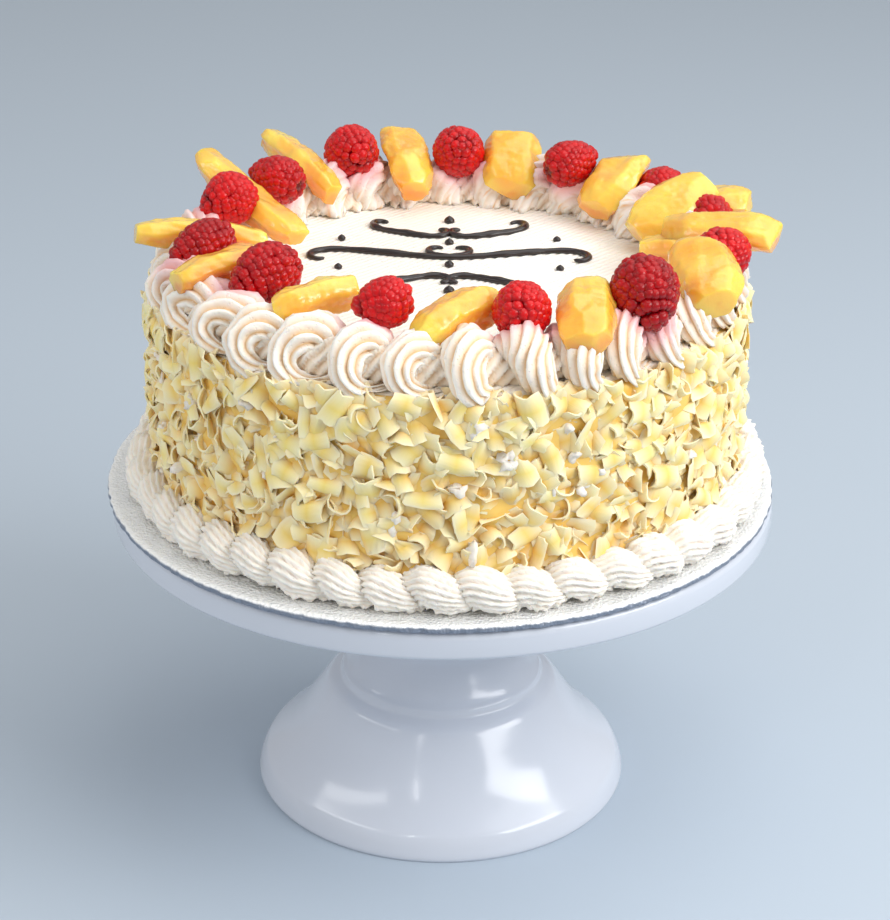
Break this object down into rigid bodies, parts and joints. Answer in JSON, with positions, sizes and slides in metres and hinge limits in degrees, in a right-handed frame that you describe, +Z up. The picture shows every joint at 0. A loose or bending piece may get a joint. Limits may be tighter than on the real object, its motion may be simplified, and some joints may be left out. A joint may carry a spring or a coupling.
{
  "type": "fruit gateau on plate",
  "caption": "Round gateau with piped cream borders, white chocolate curls on its side and raspberries and peach slices on top, on a foil board and a white pedestal plate.",
  "frame": {"origin": "middle of the stand's foot, on the surface that it stands on", "axes": "+Z up, -Y towards the side that the picture shows"},
  "size_m": [0.3049, 0.3048, 0.2939],
  "materials": {
    "white_stand": "moulded white melamine, high gloss",
    "foil_board": "finely embossed foil over card",
    "whipped_cream": "piped whipped cream, soft satin",
    "white_chocolate": "waxy white chocolate curls over cream",
    "dark_chocolate": "piped dark chocolate, glossy",
    "raspberry": "moist raspberry skin",
    "peach": "wet canned peach flesh"
  },
  "bodies": {
    "root": {"stand_foot": "white_stand", "stand_plate": "white_stand", "cake_board": "foil_board", "cake_body": "white_chocolate", "base_border": "whipped_cream", "top_border": "whipped_cream", "raspberry_01": "raspberry", "raspberry_02": "raspberry", "raspberry_03": "raspberry", "raspberry_04": "raspberry", "raspberry_05": "raspberry", "raspberry_06": "raspberry", "raspberry_07": "raspberry", "raspberry_08": "raspberry", "raspberry_09": "raspberry", "raspberry_10": "raspberry", "raspberry_11": "raspberry", "raspberry_12": "raspberry", "raspberry_13": "raspberry", "peach_01": "peach", "peach_02": "peach", "peach_03": "peach", "peach_04": "peach", "peach_05": "peach", "peach_06": "peach", "peach_07": "peach", "peach_08": "peach", "peach_09": "peach", "peach_10": "peach", "peach_11": "peach", "peach_12": "peach", "peach_13": "peach", "peach_14": "peach", "peach_15": "peach"}
  },
  "joints": []
}
